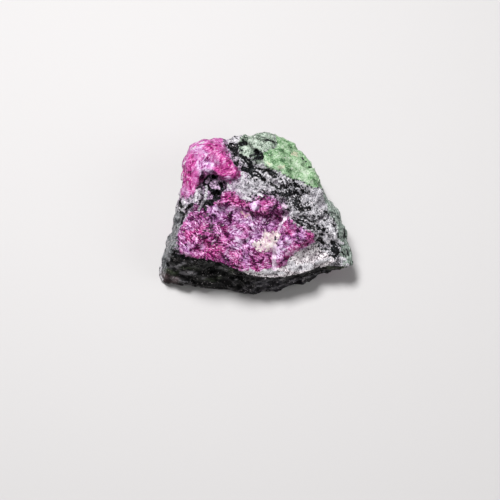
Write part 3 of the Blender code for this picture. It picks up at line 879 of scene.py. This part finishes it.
class Patterns:
    """The noises, grains and streaks that the minerals share. Sizes are in millimetres."""

    def __init__(self, r):
        place = r.scaled(r.add("ShaderNodeTexCoord").outputs["Object"], 1 / MM)
        sheets = r.stretched(place, tuple(AHEAD), 4.0)
        warp = r.add("ShaderNodeTexNoise", {"Vector": place, "Scale": 1.2, "Detail": 2.0}).outputs[1]
        warp = r.scaled(r.vector("SUBTRACT", warp, (0.5, 0.5, 0.5)), 1.2)

        # Round noises, from wide to fine
        self.broad = r.noise(r.vector("ADD", place, (7.0, 3.0, 5.0)), 1.6, 1.0)
        self.blotch = r.noise(place, 1.1, 3.0)
        self.mottle = r.noise(place, 0.34, 3.0)
        self.sand = r.noise(place, 0.15, 0.0)

        # Grains, plates, and blocks whose streaks run one way
        self.grain, self.other_grain, self.grain_turn = r.cells(place, 0.20)
        plates = r.vector("ADD", place, r.scaled(warp, 0.4))
        self.plate = r.cells(plates, 0.85)[1]
        block = r.cells(r.vector("ADD", place, warp), 2.4)[0]

        # Streaks, needles, cracks and fibres
        ruby_way = r.laid(block, -20, 90)
        knob_way = r.laid(block, 50, 90)
        needle_way = r.laid(block, -38, 60)
        self.ruby_streak = r.noise(r.stretched(sheets, ruby_way, 4.4), 0.17, 1.0)
        self.knob_streak = r.noise(r.stretched(sheets, knob_way, 4.4), 0.17, 1.0)
        self.needle = r.noise(r.stretched(sheets, needle_way, 2.6), 0.29, 1.5)
        self.right_streak = r.noise(r.stretched(place, unit(RIGHT_FIBRES), 4.5), 0.26, 3.0)
        self.left_streak = r.noise(r.stretched(place, unit(LEFT_FIBRES), 4.5), 0.25, 3.0)
        self.front_streak = r.noise(r.stretched(place, unit(FRONT_FIBRES), 4.0), 0.40, 3.0)
        self.crack = r.thin_lines(r.stretched(sheets, ruby_way, 1.8), 0.80, 0.042)
        self.fibre = r.thin_lines(r.stretched(sheets, ruby_way, 3.0), 0.40, 0.035)

        # Lightness of the white grains, and shade marks of the drawing
        self.white_light = r.around(
            (self.mottle, 1.0), (self.other_grain, 0.5), (self.sand, 0.7), start=0.5
        )
        self.tone = r.value("tone")


def ruby_shades(r, p):
    """The ruby of the face and the wedge, and the ruby of the knob."""
    lively = r.around((p.broad, 3.5), start=0.75, clamp=True)
    lively = r.plus((r.value("wedge"), -0.5), start=lively, clamp=True)
    lively = r.plus((r.value("behind"), -0.6), start=lively, clamp=True)
    base = r.around((p.mottle, 0.5), (p.grain, 0.10), (p.sand, 0.4), (p.plate, 0.26), start=0.5)
    base = r.plus(base, (p.tone, 0.36))
    ruby_streaks = r.times(r.around((p.ruby_streak, 2.2)), lively)
    knob_streaks = r.times(r.around((p.knob_streak, 1.9)), lively)
    light = r.plus(base, ruby_streaks, r.around((p.blotch, 0.8)), (p.crack, -0.55), (p.fibre, 0.22))
    knob_light = r.plus(
        base, knob_streaks, r.around((p.blotch, 0.4)), (p.crack, -0.10), (p.fibre, 0.10)
    )
    heat = r.plus(r.value("hue"), r.around((p.blotch, 1.6), (p.other_grain, 0.3)))
    heat = r.plus((heat, 0.8), start=0.43, clamp=True)
    knob_heat = r.plus(heat, start=0.05, clamp=True)
    ruby = r.mix(heat, r.ramp(light, COOL_RUBY), r.ramp(light, HOT_RUBY))
    knob = r.mix(knob_heat, r.ramp(knob_light, COOL_RUBY), r.ramp(knob_light, KNOB_RUBY))
    return ruby, knob


def speckled_shade(r, p):
    """Black needles among white grains, stained pink near the ruby."""
    pick = r.plus(p.needle, r.around((p.blotch, 0.3), (p.mottle, 0.4), (p.grain, 0.18)))
    is_black = r.plus(r.value("black_share"), (pick, -1.0))
    is_black = r.plus((is_black, 16.0), start=1.4, clamp=True)
    shade = r.mix(is_black, r.ramp(p.white_light, WHITE_GRAINS), r.ramp(p.white_light, BLACK_GRAINS))
    stained = r.mix(1.0, shade, colour(*RUBY_STAIN), "MULTIPLY")
    return r.mix(r.value("ruby_dust"), shade, stained)


def rock_shades(r, p):
    """The colours of the minerals that aren't ruby or speckled rock, by name."""
    green_light = r.around(
        (p.grain, 0.28), (p.blotch, 0.9), (p.mottle, 0.9), (p.sand, 0.9), start=0.5
    )
    green_light = r.plus(green_light, (p.tone, 0.36))
    side_light = r.around((p.grain, 0.14), (p.blotch, 0.3), (p.mottle, 0.3))
    front_light = r.around((p.blotch, 0.7), (p.grain, 0.08), (p.sand, 0.2))
    foot_light = r.around((p.grain, 0.12), (p.mottle, 0.3))
    rim_light = r.around(
        (p.grain, 0.8), (p.mottle, 1.6), (p.sand, 1.4), (p.blotch, 0.8), start=0.5
    )
    rim_light = r.plus(rim_light, (p.tone, 0.4))
    return {
        "left_side": r.ramp(r.plus(p.left_streak, side_light), LEFT_ROCK),
        "right_side": r.ramp(r.plus(p.right_streak, side_light), RIGHT_ROCK),
        "green": r.ramp(green_light, GREEN_SUGAR),
        "pale_green": r.ramp(green_light, PALE_SUGAR),
        "white_rim": r.ramp(rim_light, RIM_ROCK),
        "front": r.ramp(r.plus(p.front_streak, front_light), FRONT_ROCK_AND_SHADE),
        "foot": r.ramp(r.plus(p.front_streak, foot_light), FOOT_ROCK_AND_SHADE),
    }


def stone_colour(r, p):
    """The minerals, each laid over the ones before it."""

    def sharp(name, rough=2.2, hard=4.0):
        """A mineral's share, with an edge as ragged as the mottle."""
        ragged = r.plus(r.value(name), r.around((p.mottle, rough)))
        return r.plus((ragged, hard), start=0.5 - 0.5 * hard, clamp=True)

    def flecked(name, gain, strength):
        """The share of a patch of the front, flecked like the rock under it."""
        share = r.value(name)
        fleck = r.plus((share, gain), start=r.around((p.front_streak, 4.0)), clamp=True)
        return r.times(r.math("MULTIPLY", fleck, share, clamp=True), strength)

    rocks = rock_shades(r, p)
    rocks["face"], rocks["knob"] = ruby_shades(r, p)
    rocks["wedge"] = rocks["face"]
    shade = speckled_shade(r, p)
    for name in ("left_side", "right_side", "green", "pale_green", "white_rim", "face", "wedge", "knob"):
        shade = r.mix(sharp(name), shade, rocks[name])
    for name in ("front", "foot"):
        shade = r.mix(sharp(name, 0.9), shade, rocks[name])
    shade = r.mix(flecked("front_green", 1.2, 0.75), shade, colour(*FRONT_GREEN))
    shade = r.mix(flecked("front_grey", 1.0, 1.0), shade, colour(*FRONT_GREY))
    shade = r.mix(r.times(r.value("front_brown"), 0.6), shade, colour(*FRONT_BROWN))
    cream_light = r.plus(p.white_light, r.around((p.blotch, 1.0)))
    lighter = r.plus(p.white_light, start=0.2)
    shade = r.mix(sharp("cream", 2.4, 2.4), shade, r.ramp(cream_light, CREAM_GRAINS))
    shade = r.mix(sharp("black", 1.6), shade, r.ramp(p.white_light, BLACK_GRAINS))
    shade = r.mix(sharp("white", 2.2), shade, r.ramp(lighter, WHITE_GRAINS))
    shade = r.mix(sharp("vein", 1.2), shade, r.ramp(p.white_light, VEIN_GRAINS))
    shade = r.mix(r.times(sharp("warm", 1.6), 0.45), shade, colour(*WARM_STAIN))
    return r.mix(sharp("sliver", 1.8), shade, r.ramp(p.white_light, WHITE_GRAINS))


def painted_shade_and_highlight(r, p, shade):
    """Painted shade in the pits and hollows, and painted highlights along the ridges."""
    near, wide = r.value("depth_near"), r.value("depth_wide")
    # Painted shade: the colour darkens where the skin lies deep among its neighbours
    pit_shade = r.plus((near, 5.5), (wide, 2.0), start=-0.08, clamp=True)
    shaded_colour = r.mix(1.0, shade, r.mix(0.5, shade, colour(*PAINTED_PIT_SHADE)), "MULTIPLY")
    shade = r.mix(pit_shade, shade, shaded_colour)
    # Painted highlight: the colour turns pale on ridges, less on the front, the black rock, the knob,
    # the left side and the green
    edge_highlight = r.around((p.mottle, 1.2), start=-0.34)
    edge_highlight = r.plus((near, -6.0), edge_highlight)
    for name, less in (("front", 0.8), ("black", 0.8), ("knob", 0.2), ("left_side", 0.3)):
        edge_highlight = r.plus((r.value(name), -less), start=edge_highlight)
    edge_highlight = r.plus((r.value("green"), -0.3), start=edge_highlight, clamp=True)
    return r.mix(edge_highlight, shade, r.mix(0.40, shade, colour(*PAINTED_EDGE_HIGHLIGHT)))


def stone_material():
    r = Recipe("stone_minerals")
    p = Patterns(r)
    shade = painted_shade_and_highlight(r, p, stone_colour(r, p))

    # Each grain is a small mirror that leans its own way
    push = r.scaled(r.vector("SUBTRACT", p.grain_turn, (0.5, 0.5, 0.5)), 0.14)
    normal = r.add("ShaderNodeNewGeometry").outputs["Normal"]
    tipped = r.vector("NORMALIZE", r.vector("ADD", normal, push))
    bump = r.add(
        "ShaderNodeBump",
        {"Strength": 0.5, "Distance": 0.05 * MM, "Height": p.mottle, "Normal": tipped},
    )
    shader = r.add(
        "ShaderNodeBsdfPrincipled",
        {
            "Base Color": shade,
            "Roughness": r.plus((p.other_grain, 0.40), start=0.22),
            "Normal": bump.outputs[0],
            "IOR": 1.6,
            "Specular IOR Level": 0.12,
        },
    )
    output = r.add("ShaderNodeOutputMaterial")
    r.tree.links.new(shader.outputs[0], output.inputs[0])
    return r.material


def make_stone():
    stone = link("rough_stone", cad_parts["stone"].data.copy())
    skin_over(stone, FIRST_SQUARE)
    smooth = places_of(stone.data)
    put_back(stone.data, break_skin(stone.data, smooth, mineral_map(stone.data, smooth)))
    skin_over(stone, LAST_SQUARE)
    mesh = stone.data
    places = places_of(mesh)
    minerals = mineral_map(mesh, places)
    minerals["depth_near"], minerals["depth_wide"] = hollows(mesh, places)
    keep_values(mesh, minerals)
    mesh.materials.clear()
    mesh.materials.append(stone_material())
    for square in mesh.polygons:
        square.use_smooth = True
    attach(stone, "root")
    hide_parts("stone")


def make_floor():
    mesh = bpy.data.meshes.new("floor")
    half = FLOOR_SIDE / 2
    corners = [(-half, -half, 0), (half, -half, 0), (half, half, 0), (-half, half, 0)]
    mesh.from_pydata(corners, [], [(0, 1, 2, 3)])
    floor = link("floor", mesh)
    material = bpy.data.materials.new("floor")
    material.use_nodes = True
    shader = material.node_tree.nodes["Principled BSDF"]
    shader.inputs["Base Color"].default_value = colour(*FLOOR_COLOUR)
    shader.inputs["Roughness"].default_value = 0.8
    mesh.materials.append(material)


def make_light(name, place, size, power):
    """A soft square lamp that looks at the stone."""
    lamp = bpy.data.lights.new(name, "AREA")
    lamp.energy = power
    lamp.size = size * MM
    obj = link(name, lamp)
    obj.location = Vector(place) * MM
    obj.rotation_euler = (-obj.location).to_track_quat("-Z", "Y").to_euler()


def light_the_scene():
    make_light("key_from_above", (-60, 85, 280), 90, 1.15)
    make_light("fill_from_right", (220, -60, 200), 200, 0.22)
    make_light("fill_from_front", (-60, -260, 200), 240, 0.10)
    world = bpy.data.worlds.new("room")
    world.use_nodes = True
    background = world.node_tree.nodes["Background"]
    background.inputs["Color"].default_value = (1, 1, 1, 1)
    background.inputs["Strength"].default_value = ROOM_LIGHT
    bpy.context.scene.world = world


def make_camera():
    data = bpy.data.cameras.new("camera")
    data.sensor_width = 36
    data.lens = 115.3
    data.clip_start = 0.01
    camera = link("camera", data)
    camera.location = Vector(EYE) * MM
    camera.rotation_euler = (math.radians(90) - TILT, 0, 0)
    bpy.context.scene.camera = camera


make_camera()
make_stone()
make_floor()
light_the_scene()
bpy.context.scene.view_settings.view_transform = "Standard"
